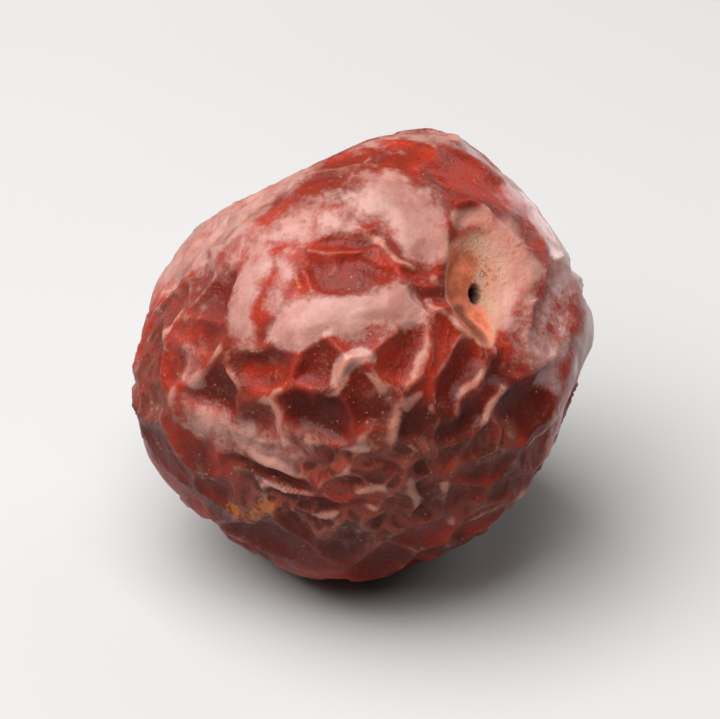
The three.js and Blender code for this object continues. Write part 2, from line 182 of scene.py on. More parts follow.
MIDDLE_HOLLOWS = (
    Bar(-9.0, 1.0, -8.3, 1.4, 0.4, -0.6),
    Bar(-9.4, 0.4, -9.9, -0.6, 0.4, -0.4),
    Bar(-11.3, 0.4, -11.4, -2.0, 0.5, -0.5),
    Bar(-6.3, -0.6, -4.5, -0.5, 0.75, -0.85),
    Bar(-2.9, -0.9, -1.9, 0.2, 0.6, -0.9),
    Bar(-1.2, 0.8, 0.6, 0.9, 0.4, -0.7),
    Bar(1.5, -0.1, 2.3, 0.8, 0.4, -0.7),
    Bar(4.5, 0.8, 5.0, 1.2, 0.5, -0.3),
    Bar(5.2, -1.8, 5.8, -0.2, 0.6, -0.8),
    Bar(7.4, -0.5, 8.2, 0.6, 0.5, -0.6),
    Bar(8.5, 1.2, 9.0, 2.3, 0.3, -0.4),
    Bar(10.0, 2.2, 10.9, 3.0, 0.5, -0.45),
    Bar(-8.3, -2.6, -7.6, -1.2, 0.75, -0.95),
    Bar(-6.2, -3.0, -5.2, -3.6, 0.45, -0.6),
    Bar(-5.3, -4.5, -5.2, -4.8, 0.22, -0.5),
    Bar(-3.3, -3.2, -0.8, -3.4, 0.75, -1.15),
    Bar(-0.2, -1.9, 0.5, -3.0, 0.5, -0.9),
)
LOWER_HOLLOWS = (
    Bar(-3.8, -5.4, -2.5, -5.9, 0.5, -0.49),
    Bar(-1.6, -5.3, -0.7, -5.1, 0.4, -0.49),
    Bar(-7.2, -6.4, -4.6, -6.6, 0.35, -0.63),
    Bar(0.5, -5.6, 1.5, -5.4, 0.5, -0.42),
    Bar(-1.0, -6.7, 0.6, -6.4, 0.35, -0.42),
    Bar(2.6, -3.9, 3.4, -2.6, 0.6, -0.67),
    Bar(4.4, -3.7, 6.0, -3.0, 0.45, -0.60),
    Bar(8.0, -3.6, 9.3, -2.0, 0.8, -0.70),
    Bar(4.4, -5.0, 6.6, -4.3, 0.35, -0.56),
    Bar(6.2, -5.8, 7.2, -5.6, 0.5, -0.42),
    Bar(9.0, -5.3, 9.8, -5.0, 0.4, -0.42),
    Bar(7.2, -7.4, 8.2, -7.0, 0.5, -0.42),
    Bar(5.2, -8.0, 5.8, -7.6, 0.5, -0.42),
    Bar(3.2, -8.5, 3.4, -7.0, 0.5, -0.56),
    Bar(1.2, -9.5, 2.0, -8.2, 0.5, -0.49),
    Bar(-5.2, -8.3, -0.8, -8.1, 0.35, -0.56),
    Bar(-1.6, -7.6, -0.9, -7.3, 0.3, -0.35),
    Bar(-4.2, -9.5, -2.8, -9.4, 0.4, -0.49),
    Bar(-1.2, -10.2, 0.5, -10.4, 0.5, -0.49),
    Bar(3.0, -10.2, 4.2, -9.8, 0.5, -0.49),
    Bar(-6.7, -7.4, -6.3, -7.6, 0.4, -0.35),
    Bar(-11.0, -4.5, -10.6, -5.3, 0.5, -0.35),
    Bar(-9.6, -4.8, -9.0, -5.6, 0.5, -0.42),
    Bar(-8.8, -6.8, -8.2, -7.3, 0.5, -0.42),
    Bar(3.0, -5.9, 3.6, -5.4, 0.4, -0.35),
)
DRAWN_CELLS = SWOLLEN_FOLDS + UPPER_HOLLOWS + MIDDLE_HOLLOWS + LOWER_HOLLOWS
# Crests that cross the net.
LONG_CRESTS = (
    Crest(0.3, 0.5, ((5, 12.1), (7.5, 10.7), (8.5, 9.7), (9.3, 7.5), (10.2, 5.3), (11.8, 3.4), (12.3, 0.5))),
    Crest(0.28, 0.35, ((4.6, 7.4), (4.2, 4.5), (4.2, 3.4), (4.45, 2.4),
                       (5.3, 1.75), (6.4, 0.6), (7.2, 0.55))),
    Crest(0.30, 0.45, ((-1.5, -1), (-0.6, -0.35), (0.4, 0.1))),
    Crest(0.33, 0.45, ((2, -1.4), (2.7, -0.4), (3.5, 1.5), (3.6, 2.1))),
    Crest(0.23, 0.3, ((0, -1.3), (0.8, -1.5), (2.2, -2.2), (3.2, -1.6))),
    Crest(0.23, 0.3, ((6.8, 0), (6.7, -1), (5.3, -2.5), (4.3, -2.9), (4, -2.4))),
    Crest(0.23, 0.3, ((-0.1, 6.5), (0.8, 5.9), (1.8, 5), (3.1, 4.75))),
    Crest(0.25, 0.35, ((-8.6, -0.6), (-7.8, 0.5))),
    Crest(0.25, 0.4, ((-11, 0.9), (-10.2, 2), (-9.5, 2.7))),
    Crest(0.30, 0.4, ((-8.9, -0.8), (-9.6, -1.6), (-10, -2.6), (-10.1, -4))),
    Crest(0.25, 0.28, ((-7.2, -0.5), (-6.2, -2.2), (-4.8, -2.6), (-4.6, -3.6), (-4.5, -4.3))),
    Crest(0.25, 0.28, ((-3.5, 0.5), (-3.4, -0.3), (-3.8, -1.3), (-4.6, -2.3))),
    Crest(0.23, 0.28, ((-3.1, -1.8), (-2, -2.3), (-1.3, -2.3), (-1, -1.6))),
    Crest(0.23, 0.25, ((-3.4, -4.6), (-1.5, -4.7), (0.4, -4.5), (0.55, -3.8))),
    Crest(0.28, 0.3, ((-0.3, -5.6), (-3, -7), (-4, -7.3), (-5.3, -7.6), (-5.9, -8))),
    Crest(0.23, 0.3, ((-4, -9), (-1.5, -8.7), (0, -8.3), (1, -7.8))),
    Crest(0.20, 0.3, ((-0.2, -9.3), (0.6, -8.7), (1.2, -8.2))),
    Crest(0.20, 0.25, ((-0.5, -7.3), (0.3, -7.1), (1, -6.9))),
    Crest(0.30, 0.35, ((4, -4.7), (6.5, -3.4), (7, -2.5), (7.6, -1.9), (8.6, -1))),
    Crest(0.23, 0.3, ((9.2, -4.8), (10.2, -4.3))),
    Crest(0.23, 0.3, ((4.6, -6.8), (4.5, -8), (5, -9.3))),
    Crest(0.20, 0.3, ((2.4, -6.6), (2.7, -8.5))),
    Crest(0.30, 0.4, ((10.2, -2.2), (10.4, -5), (10.1, -6), (9.2, -7), (6.5, -9))),
    Crest(0.17, 0.25, ((-5.9, -5.95), (-4.7, -6))),
    Crest(0.20, 0.3, ((1.5, -2.2), (1.4, -3.4), (1.2, -4.4))),
)
# Patches of colour with soft edges. First, rough tan marks.
CORKY_STREAKS = (
    Bar(-7.4, -8.5, -5.6, -9.0, 0.6, 0.85),
    Bar(-7.4, 8.2, -6.2, 7.5, 0.35, 1.0),
    Bar(-3.9, 4.0, -3.4, 3.3, 0.16, 0.9),
    Bar(-0.2, -4.7, 1.0, -4.5, 0.16, 0.9),
    Bar(2.6, 5.3, 3.1, 4.7, 0.15, 0.8),
    Bar(-4.7, -6.2, -3.2, -5.0, 0.14, 0.7),
)
# Where the skin is pale and hazy: partly its waxy bloom, partly a painted sheen on folds that face the light.
BLOOM_AND_SHEEN_PATCHES = (
    Bar(0.9, 8.6, 3.2, 6.4, 1.7, 1.0),
    Bar(-6.5, 6.6, -1.0, 7.4, 1.7, 0.72),
    Bar(-9.6, 5.4, -6.0, 7.6, 1.6, 0.8),
    Bar(-10.0, 6.4, -4.4, 9.9, 1.8, 1.15),
    Bar(-10.8, 5.2, -8.6, 8.4, 1.4, 1.35),
    Bar(-0.6, 11.4, 5.0, 11.9, 1.7, 0.75),
    Bar(0.8, 10.6, 2.6, 10.6, 0.7, 0.45),
    Bar(-6.6, 1.8, -5.3, 5.8, 1.1, 1.0),
    Bar(-4.9, 2.9, -3.9, 5.4, 0.7, 0.7),
    Bar(-3.8, 1.7, 2.5, 2.6, 1.35, 1.4),
    Bar(-1.4, -0.9, 0.3, 0.05, 0.7, 1.5),
    Bar(-9.0, -3.5, -7.2, -3.9, 1.0, 0.6),
    Bar(-7.6, -4.5, -6.2, -5.2, 1.1, 0.7),
    Bar(-6.4, -5.4, -5.0, -5.6, 0.8, 1.1),
    Bar(-9.0, -3.8, -4.8, -4.8, 1.9, 0.65),
    Bar(-6.2, -7.5, -4.6, -7.6, 0.35, 1.1),
    Bar(-1.6, -4.75, 0.3, -4.6, 0.3, 0.9),
    Bar(9.6, 8.0, 10.6, 4.5, 1.6, 1.1),
    Bar(10.4, 4.6, 10.2, 1.0, 1.7, 0.85),
    Bar(8.6, 2.4, 9.2, 5.2, 0.9, 0.8),
    Bar(8.6, 0.8, 9.6, 1.6, 0.9, 0.5),
    Bar(3.4, 0.6, 4.2, 4.0, 0.7, 0.6),
    Bar(-9.4, -1.5, -9.2, 0.6, 0.8, 0.6),
)
# Where it is bare of bloom.
CLEAN_PATCHES = (
    Bar(4.0, 9.9, 7.6, 8.7, 1.4, 0.95),
    Bar(-1.8, 5.0, 1.2, 5.0, 1.0, 0.5),
    Bar(1.2, 4.7, 3.9, 3.9, 0.9, 0.65),
    Bar(-3.0, 4.0, 0.4, 3.7, 0.6, 0.45),
    Bar(-2.8, -0.7, -1.8, 0.2, 0.9, 0.45),
    Bar(-6.2, -0.6, -4.6, -0.5, 0.9, 0.75),
    Bar(5.2, -1.6, 5.8, -0.3, 0.9, 0.5),
    Bar(3.0, -3.6, 8.8, -3.0, 1.6, 0.5),
    Bar(-3.2, -3.3, -0.8, -3.4, 0.9, 0.5),
)
# Painted shade: where it is darkest.
PAINTED_SHADE_PATCHES = (
    Bar(-8.0, -1.4, -5.8, -3.0, 1.0, 0.45),
    Bar(-3.6, -3.2, 0.8, -2.7, 1.15, 0.65),
    Bar(2.3, -3.4, 5.8, -2.8, 1.3, 0.95),
    Bar(7.6, -1.8, 9.6, -3.2, 1.5, 1.1),
    Bar(5.0, -1.6, 7.6, 0.2, 0.9, 0.45),
    Bar(2.9, -5.5, 3.3, -8.5, 0.6, 0.6),
    Bar(-5.0, -8.1, -0.6, -8.0, 0.55, 0.95),
    Bar(-7.6, -6.3, -4.6, -6.6, 0.5, 0.85),
    Bar(-6.8, -6.6, -3.6, -6.9, 0.6, 0.9),
    Bar(-5.4, -10.0, -1.0, -10.8, 1.4, 0.8),
    Bar(-8.4, -8.6, -3.0, -11.4, 1.8, 0.7),
    Bar(-1.0, -11.6, 5.0, -10.8, 1.8, 0.65),
    Bar(4.0, -8.0, 8.0, -6.0, 2.0, 0.45),
    Bar(0.6, -5.8, 1.2, -5.8, 0.6, 0.5),
    Bar(-11.8, -3.2, -9.8, -6.8, 1.7, 0.75),
    Bar(-9.4, -5.6, -8.6, -7.2, 1.0, 0.6),
    Bar(-12.0, 0.4, -12.0, -2.0, 0.9, 0.45),
    Bar(8.0, -0.8, 8.8, 0.2, 0.8, 0.45),
    Bar(6.0, 2.8, 6.7, 1.2, 0.7, 0.75),
    Bar(-7.2, 4.6, -7.9, 2.6, 0.6, 0.3),
)
# Where a whitish waxy film lies on it, and a painted sheen of the bright surroundings along the right rim.
FILM_AND_SHEEN_PATCHES = (
    Bar(6.6, 11.2, 9.0, 9.2, 1.8, 0.9),
    Bar(9.6, 8.4, 11.6, 4.6, 2.6, 1.15),
    Bar(12.0, 3.8, 12.2, 0.6, 2.0, 1.1),
    Bar(11.8, 0.2, 11.4, -2.4, 2.0, 0.8),
    Bar(11.0, -3.0, 10.6, -5.4, 1.2, 0.8),
    Bar(10.2, -0.8, 10.6, -1.6, 0.9, 0.6),
    Bar(10.2, 3.8, 10.6, 0.2, 1.6, 0.6),
    Bar(8.3, 9.2, 9.1, 7.2, 0.5, 1.1),
    Bar(9.1, 7.2, 9.9, 5.7, 0.5, 1.2),
    Bar(9.9, 5.7, 11.3, 3.9, 0.6, 1.2),
    Bar(11.3, 3.9, 12.0, 2.4, 0.6, 1.1),
)
# Where it is dull and crumpled.
DUST_PATCHES = (
    Bar(-3.0, -5.4, 2.2, -6.0, 2.4, 0.8),
    Bar(-6.0, -8.6, 1.0, -9.8, 2.4, 0.8),
    Bar(2.6, -4.4, 7.4, -5.2, 2.0, 0.6),
    Bar(2.4, -8.6, 8.0, -6.8, 2.2, 0.6),
    Bar(-9.6, -2.0, -9.0, -5.0, 1.2, 0.3),
    Bar(-11.0, 3.6, -11.4, -3.4, 1.9, 0.6),
    Bar(-9.4, 1.6, -9.8, -1.4, 1.2, 0.45),
    Bar(-8.2, -4.4, -4.6, -7.0, 1.9, 0.2),
)
# Painted highlight: where a ridge, a rim or a fold is made pale and pink as if lit.
PAINTED_HIGHLIGHT_PATCHES = (
    Bar(8.2, 2.6, 8.7, 5.0, 0.8, 0.75),
    Bar(8.8, 5.0, 7.6, 7.4, 0.9, 0.75),
    Bar(5.5, 1.7, 7.4, 0.7, 0.4, 1.0),
    Bar(4.9, 7.5, 6.9, 7.8, 0.5, 0.9),
    Bar(-8.8, -3.6, -7.6, -3.8, 0.7, 0.6),
    Bar(-7.2, -4.7, -6.4, -5.0, 0.7, 0.55),
    Bar(-6.2, -5.5, -5.0, -5.6, 0.5, 1.0),
    Bar(-5.8, -7.55, -4.6, -7.6, 0.25, 0.9),
    Bar(-1.2, -4.75, 0.3, -4.65, 0.2, 0.9),
    Bar(-3.4, -4.6, -1.5, -4.7, 0.22, 0.7),
    Bar(-3.0, -7.0, -0.6, -5.8, 0.25, 0.6),
    Bar(-3.6, -8.95, -1.5, -8.7, 0.28, 0.55),
    Bar(-1.5, -8.7, 1.0, -7.8, 0.28, 0.55),
    Bar(-0.5, -7.3, 1.0, -6.9, 0.28, 0.5),
    Bar(4.0, -4.7, 6.5, -3.4, 0.25, 0.55),
    Bar(6.5, -3.4, 7.6, -1.9, 0.3, 0.6),
)


def draw(index: Array, salt: float) -> Array:
    """A repeatable draw between 0 and 1: the fraction left by a large multiple of a sine."""
    value = np.sin(index * DRAW_STEP + salt * DRAW_SALT) * DRAW_SPREAD
    return value - np.floor(value)


def drawn(span: Span, draws: Array) -> Array:
    """The span's first number plus its second times the draw."""
    return span[0] + span[1] * draws


def ease(low: float | Array, high: float, value: Array) -> Array:
    """Steps from 0 to 1 as value goes from low to high, level at both ends."""
    share = np.clip((value - low) / (high - low), 0.0, 1.0)
    return share * share * (3.0 - 2.0 * share)


def drawn_directions(first: Array, second: Array) -> Array:
    """Directions even over the sphere: one draw gives the height, the other the turn round the axis.

    Args:
        first: draws for the height.
        second: draws for the turn.

    Returns:
        One unit vector a row.
    """
    z = 1.0 - 2.0 * first
    ring = np.sqrt(1.0 - z * z)
    turn = 2.0 * np.pi * second
    return np.stack([ring * np.cos(turn), ring * np.sin(turn), z], axis=-1)


def unit(vectors: Array) -> Array:
    """The vectors at length 1."""
    return vectors / np.linalg.norm(vectors, axis=-1, keepdims=True)


def in_blocks(work: Callable[[Array], tuple[Array, ...]], points: Array) -> list[Array]:
    """Runs work, which gives arrays with a row a point, on blocks of points to keep its tables small."""
    blocks = [work(points[i : i + BLOCK]) for i in range(0, len(points), BLOCK)]
    return [np.concatenate(parts) for parts in zip(*blocks)]


def linked(name: str, data: Any) -> bpy.types.Object:
    """Puts a mesh, a light or a camera into the scene.

    Args:
        name: the object's name.
        data: what it holds.

    Returns:
        The object, at the origin.
    """
    made = bpy.data.objects.new(name, data)
    bpy.context.scene.collection.objects.link(made)
    return made


@dataclass(frozen=True)
class Waves:
    """Smooth noise of about unit size: a sum of plane waves in drawn directions."""

    wavelength: float
    count: int
    salt: float
    spread: float = 0.5
    turn_salt: float = 0.37
    length_salt: float = 0.71
    phase_salt: float = 0.93
    ridge_rounding: float = 0.05

    def at(self, points: Array) -> Array:
        """The cosines of the waves, added and scaled to unit size.

        Args:
            points: points, one a row.

        Returns:
            The noise at each point.
        """
        index = np.arange(1, self.count + 1, dtype=float)
        directions = drawn_directions(draw(index, self.salt), draw(index, self.salt + self.turn_salt))
        lengths = 1.0 - self.spread / 2.0 + self.spread * draw(index, self.salt + self.length_salt)
        pitch = 2.0 * np.pi / (self.wavelength * lengths)
        phase = 2.0 * np.pi * draw(index, self.salt + self.phase_salt)
        return np.cos(points @ directions.T * pitch + phase).sum(axis=1) * math.sqrt(2.0 / self.count)

    def ridges_at(self, points: Array, sharpness: float) -> Array:
        """Thin ridges, from 0 to 1, along the lines where the noise is zero."""
        return np.exp(-np.sqrt(self.at(points) ** 2 + self.ridge_rounding) / sharpness)


class Bars(NamedTuple):
    """Straight bars on the mean sphere, each with a width and a value."""

    starts: Array
    ends: Array
    widths: Array
    values: Array

    def distances(self, points: Array) -> Array:
        """The distance from every point to every bar, by the foot of the perpendicular on the bar.

        Args:
            points: the points, one a row.

        Returns:
            A table with a row for each point and a column for each bar.
        """
        run = self.ends - self.starts
        length = np.maximum(np.sum(run * run, axis=1), TINY)
        along = points @ run.T - np.sum(self.starts * run, axis=1)
        share = np.clip(along / length, 0.0, 1.0)
        off = np.sum(points * points, axis=1)[:, None] - 2.0 * points @ self.starts.T
        off = off + np.sum(self.starts * self.starts, axis=1)
        return np.sqrt(np.maximum(off - 2.0 * share * along + share * share * length, 0.0))


@dataclass
class WrinkleNet:
    """The net of crests round hollows: which cell each point of the mean sphere lies in, and how deep.

    A scattered cell's reach, width and swells are the least value and what a draw adds to it.
    """

    radius: float
    stem: Array
    front_reach: float = 0.975
    tries: int = 2600
    cell_gap: float = 0.75
    turn_range: float = 1.3
    reach: Span = (0.6, 2.2)
    width: Span = (0.3, 0.4)
    fold_share: float = 0.2
    hollow_swell: Span = (-0.35, -0.5)
    fold_swell: Span = (0.2, 0.3)
    neighbours: int = 4
    hollow_depth: float = 0.9
    wall_length: float = 0.55
    fold_height: float = 0.8
    fold_length: float = 1.0
    lip_height: float = 0.18
    lip_width: float = 0.22
    crest_rounding: float = 0.09
    long_crest_rounding: float = 0.17
    corner_rounding: float = 0.18
    wide_bend: float = 0.22
    wide_waves: tuple[Waves, ...] = tuple(Waves(5.0, 8, salt) for salt in (10, 11, 12))
    small_bend: float = 0.1
    small_waves: tuple[Waves, ...] = tuple(Waves(1.9, 8, salt) for salt in (20, 21, 22))
    cells: Bars = field(init=False)
    crests: Bars = field(init=False)

    def __post_init__(self) -> None:
        """Lays out the cells, those drawn on the front and then others wherever one fits, and the crests."""
        self.cells = self.scattered(self.bars(DRAWN_CELLS))
        rows = [Bar(*a, *b, c.width, c.height) for c in LONG_CRESTS for a, b in zip(c.path, c.path[1:])]
        self.crests = self.bars(rows)

    def bars(self, rows: Sequence[Bar]) -> Bars:
        """Lifts bars of the drawing straight towards the eye onto the mean sphere, kept off its very edge.

        Args:
            rows: the bars.

        Returns:
            The bars on the sphere's front.
        """
        table = np.array(rows)
        flat = table[:, :4].reshape(-1, 2)
        away = np.linalg.norm(flat, axis=1, keepdims=True)
        flat = flat * np.minimum(1.0, self.front_reach * self.radius / np.maximum(away, TINY))
        towards = np.sqrt(self.radius**2 - np.sum(flat * flat, axis=1, keepdims=True))
        points = np.concatenate([flat, towards], axis=1)
        return Bars(points[0::2].copy(), points[1::2].copy(), table[:, 4], table[:, 5])

    def scattered(self, cells: Bars) -> Bars:
        """Adds cells roughly along the fruit's length, mostly hollows, each clear of all that came before.

        Args:
            cells: the cells drawn on the front.

        Returns:
            Those and the others.
        """
        index = np.arange(1, self.tries, dtype=float)
        draws = {use: draw(index, use.value) for use in Draw}
        middles = drawn_directions(draws[Draw.HEIGHT], draws[Draw.ROUND])
        along = unit(self.stem - middles * (middles @ self.stem)[:, None])
        across = np.cross(middles, along)
        turn = self.turn_range * (draws[Draw.TURN] - 0.5)
        run = along * np.cos(turn)[:, None] + across * np.sin(turn)[:, None]
        run *= drawn(self.reach, draws[Draw.REACH])[:, None]
        centres = middles * self.radius
        bars = np.stack([centres - run, centres, centres + run], axis=1)
        half_widths = drawn(self.width, draws[Draw.WIDTH])
        hollows = drawn(self.hollow_swell, draws[Draw.DEPTH])
        folds = drawn(self.fold_swell, draws[Draw.DEPTH])
        swells = np.where(draws[Draw.KIND] > self.fold_share, hollows, folds)
        kept = np.stack([cells.starts, (cells.starts + cells.ends) / 2.0, cells.ends], axis=1)
        kept_widths = cells.widths
        taken = []
        for i, bar in enumerate(bars):
            apart = np.linalg.norm(kept[:, :, None] - bar, axis=-1).min(axis=(1, 2))
            if np.all(apart >= kept_widths + half_widths[i] + self.cell_gap):
                kept = np.concatenate([kept, bar[None]])
                kept_widths = np.append(kept_widths, half_widths[i])
                taken.append(i)
        return Bars(kept[:, 0], kept[:, 2], kept_widths, np.concatenate([cells.values, swells[taken]]))

    def bent(self, points: Array) -> Array:
        """Where each point looks up the net, whose lines waver: it is moved by a wide and a small noise."""
        kinds = (self.wide_waves, self.small_waves)
        wide, small = (np.stack([waves.at(points) for waves in kind], axis=1) for kind in kinds)
        return points + self.wide_bend * wide + self.small_bend * small

    def rounded(self, distance: Array, rounding: float) -> Array:
        """The distance with its sharp zero rounded off."""
        return np.hypot(distance, rounding) - rounding

    def relief(self, points: Array) -> tuple[Array, Array, Array, Array]:
        """Level on the border between the nearest cells, falling or swelling from there to each cell's floor.

        Args:
            points: points of the bent sphere.

        Returns:
            The height of the hollows and folds, the rise of the lips between hollows, the height of the long
            crests, and how near the point is to the top of a lip or crest.
        """
        reach = self.cells.distances(points) - self.cells.widths
        near = np.argpartition(reach, self.neighbours, axis=1)[:, : self.neighbours + 1]
        order = np.argsort(np.take_along_axis(reach, near, axis=1), axis=1)
        near = np.take_along_axis(near, order, axis=1)
        reach = np.take_along_axis(reach, near, axis=1)
        borders = (reach[:, 1:] - reach[:, :1]) / 2.0
        crowding = np.exp(-borders / self.corner_rounding).sum(axis=1)
        inside = np.maximum(0.0, -self.corner_rounding * np.log(crowding))
        swell = self.cells.values[near[:, 0]]
        is_fold = swell > 0.0
        run = np.where(is_fold, self.fold_length, self.wall_length)
        floor = 1.0 - np.exp(-self.rounded(inside, self.crest_rounding) / run)
        height = swell * floor * np.where(is_fold, self.fold_height, self.hollow_depth)
        between_hollows = (swell < 0.0) & (self.cells.values[near[:, 1]] < 0.0)
        lip = np.exp(-np.hypot(borders[:, 0], self.crest_rounding) / self.lip_width) * between_hollows
        away = self.crests.distances(points)
        nearness = np.exp(-self.rounded(away, self.long_crest_rounding) / self.crests.widths)
        crest = (self.crests.values * nearness).max(axis=1)
        return height, self.lip_height * lip, crest, np.maximum(lip, nearness.max(axis=1))


@dataclass
class StemEnd:
    """The funnel that the stalk left and the pin hole in it, measured across and up from the stem axis."""

    stem: Array
    radius: float
    left: float = 3.0
    right: float = 2.9
    above: float = 4.8
    below: float = 3.7
    depth: float = 1.2
    floor_share: float = 0.1
    steep_share: float = 0.55
    rim_share: float = 1.05
    hole_half_width: float = 0.42
    hole_half_height: float = 0.6
    hole_depth: float = 2.0
    hole_wall: Span = (0.5, 1.15)
    channel_below: Span = (0.1, -1.2)
    channel_beside: Span = (0.4, 1.4)
    wall_beside: Span = (0.5, -0.9)
    wall_above: Span = (1.6, 3.6)
    wall_lean: float = 0.12
    across: Array = field(init=False)
    upward: Array = field(init=False)

    def __post_init__(self) -> None:
        """Sets the two directions that the funnel is measured in."""
        self.across = unit(np.array([1.0, 0.0, 0.0]) - self.stem * self.stem[0])
        self.upward = np.cross(self.stem, self.across)

    def at(self, directions: Array) -> tuple[Array, Array, Array, Array]:
        """The funnel, steep on its left and easing out on its right, with the pin hole in it.

        Args:
            directions: unit directions.

        Returns:
            How far each is from the hole as a share of the rim, how much it lies in the steep left or in the
            channel below the hole, the distance from the hole in hole sizes, and how far the skin drops.
        """
        x = directions @ self.across * self.radius
        y = directions @ self.upward * self.radius
        sideways = x / np.where(x < 0.0, self.left, self.right)
        share = np.hypot(sideways, y / np.where(y < 0.0, self.below, self.above))
        leftness = 0.5 - 0.5 * sideways / np.maximum(share, TINY)
        funnel = 1.0 - ease(self.floor_share + self.steep_share * leftness**2, self.rim_share, share)
        hole = np.hypot(x / self.hole_half_width, y / self.hole_half_height)
        drop = self.depth * funnel + self.hole_depth * (1.0 - ease(*self.hole_wall, hole))
        channel = ease(*self.channel_below, y) * (1.0 - ease(*self.channel_beside, np.abs(x)))
        wall = ease(*self.wall_beside, x - self.wall_lean * y) * (1.0 - ease(*self.wall_above, y))
        behind = directions @ self.stem < 0.0
        steep = np.maximum(wall, channel)
        return np.where(behind, FAR, share), steep, np.where(behind, FAR, hole), np.where(behind, 0.0, drop)


@dataclass
class Fruit:
    """The dried fruit: its sizes in millimetres, its skin's mesh and its finish."""

    mean_radius: float = 12.5
    half_length: float = 12.6
    half_width: float = 12.25
    barrel: float = 2.25
    drawing_tilt: float = math.radians(32.0)
    stem_right: float = 0.57
    stem_up: float = 0.33
    pressed_sides: tuple[PressedSide, ...] = (
        PressedSide((-0.4, 0.92, 0.05), 10.5),
        PressedSide((-0.85, 0.53, 0.1), 11.4),
        PressedSide((0.57, 0.33, 0.75), 12.0),
        PressedSide((0.83, 0.55, 0.05), 12.7),
        PressedSide((0.97, -0.25, 0.0), 12.3),
        PressedSide((0.74, -0.67, 0.05), 12.3),
        PressedSide((-0.3, -0.2, -0.9), 11.6),
        PressedSide((0.2, 0.8, -0.6), 12.0),
    )
    pressed_sharpness: float = 14.0
    lean: tuple[float, float, float] = (0.1, 0.6, 0.0)
    lump_height: float = 0.22
    lumps: Waves = Waves(13.0, 7, 40)
    rest_depth: float = 11.9
    rest_cosine: float = 0.5
    rest_fade: Span = (0.9, 0.975)
    tip_height: float = 0.4
    tip_width: float = 0.6
    dimple_depth: float = 0.8
    dimple_width: float = 2.0
    fine_wrinkle: float = 0.13
    fine_waves: Waves = Waves(2.9, 12, 30)
    fine_sharpness: float = 0.25
    fine_share: float = 0.6
    finest_wrinkle: float = 0.06
    finest_waves: Waves = Waves(1.3, 14, 31)
    finest_sharpness: float = 0.3
    finest_share: float = 0.4
    ridge_level: float = 0.2
    fold_start: Span = (0.0, 0.2)
    fold_calm: float = 0.75
    funnel_wrinkle: float = 0.1
    dust_crumple: float = 2.2
    net_start: Span = (0.75, 1.0)
    funnel_edge: float = 0.6
    tan_start: float = 0.35
    tan_steep: float = 0.5
    tan_end: float = 1.1
    wall_end: Span = (0.85, 1.05)
    hole_tint: Span = (0.85, 1.4)
    patch_edge: Span = (0.3, 1.5)
    # The hazy upper-left side is bloom with a painted sheen.
    hazy_side: tuple[float, float, float] = (-0.7, 0.7, 0.0)
    hazy_strength: float = 1.1
    hazy_reach: Span = (0.8, 0.95)
    back_bloom: float = 1.1
    back_waves: Waves = Waves(9.0, 8, 50)
    back_blots: Span = (0.2, 1.4)
    back_reach: Span = (0.15, -0.35)
    row_gathering: float = 0.35
    rows: int = 232
    columns: int = 420
    stem: Array = field(init=False)
    down: Array = field(init=False)
    stem_end: StemEnd = field(init=False)
    net: WrinkleNet = field(init=False)

    def __post_init__(self) -> None:
        """Sets the directions that the shape is drawn from, the stem end and the wrinkle net."""
        stem_towards = math.sqrt(1 - self.stem_right**2 - self.stem_up**2)
        self.stem = np.array([self.stem_right, self.stem_up, stem_towards])
        self.down = np.array([0.0, -math.cos(self.drawing_tilt), -math.sin(self.drawing_tilt)])
        self.stem_end = StemEnd(self.stem, self.mean_radius)
        self.net = WrinkleNet(self.mean_radius, self.stem)

    def directions(self) -> Array:
        """Unit directions: rows run from the stem end to the blossom end, columns go round the axis.

        Returns:
            The stem end, the rows in turn, and the blossom end.
        """
        even = np.pi * np.arange(1, self.rows) / self.rows
        angle = even - self.row_gathering * np.sin(even)
        turn = 2.0 * np.pi * np.arange(self.columns) / self.columns
        ring = np.cos(turn)[:, None] * self.stem_end.across + np.sin(turn)[:, None] * self.stem_end.upward
        grid = np.cos(angle)[:, None, None] * self.stem + np.sin(angle)[:, None, None] * ring
        return np.concatenate([self.stem[None], grid.reshape(-1, 3), -self.stem[None]])

    def faces(self) -> list[list[int]]:
        """Four-sided faces between the rows, and a fan of triangles at either end, all facing out.

        Returns:
            The point numbers of each face.
        """
        row = np.arange(self.rows - 2)[:, None] * self.columns + 1
        here = row + np.arange(self.columns)
        beside = row + (np.arange(self.columns) + 1) % self.columns
        quads = np.stack([here, here + self.columns, beside + self.columns, beside], axis=-1).reshape(-1, 4)
        first, following = here[0], beside[0]
        stem_fan = np.stack([np.zeros_like(first), first, following], axis=-1)
        last = (self.rows - 2) * self.columns
        end = np.full_like(first, (self.rows - 1) * self.columns + 1)
        blossom_fan = np.stack([end, following + last, first + last], axis=-1)
        return [*quads.tolist(), *stem_fan.tolist(), *blossom_fan.tolist()]

    def body_radius(self, directions: Array) -> Array:
        """The plain body: a barrel about the stem axis, blended with the pressed sides and leaning a little.

        The barrel and the sides add up as powers of 1 / radius. Two bell curves make a shallow dimple with a
        small tip in it at the blossom end.

        Args:
            directions: unit directions.

        Returns:
            The radius in each.
        """
        cosine = directions @ self.stem
        sine = np.sqrt(np.maximum(0.0, 1.0 - cosine * cosine))
        section = (np.abs(cosine) / self.half_length) ** self.barrel + (sine / self.half_width) ** self.barrel
        total = section ** (self.pressed_sharpness / self.barrel)
        for side in self.pressed_sides:
            facing = directions @ unit(np.array(side.towards))
            total = total + np.maximum(0.0, facing / side.distance) ** self.pressed_sharpness
        off = self.mean_radius * sine
        tip = self.tip_height * np.exp(-((off / self.tip_width) ** 2))
        dimple = self.dimple_depth * np.exp(-((off / self.dimple_width) ** 2))
        radius = total ** (-1.0 / self.pressed_sharpness) + directions @ np.array(self.lean)
        return radius + np.where(cosine < 0.0, tip - dimple, 0.0)

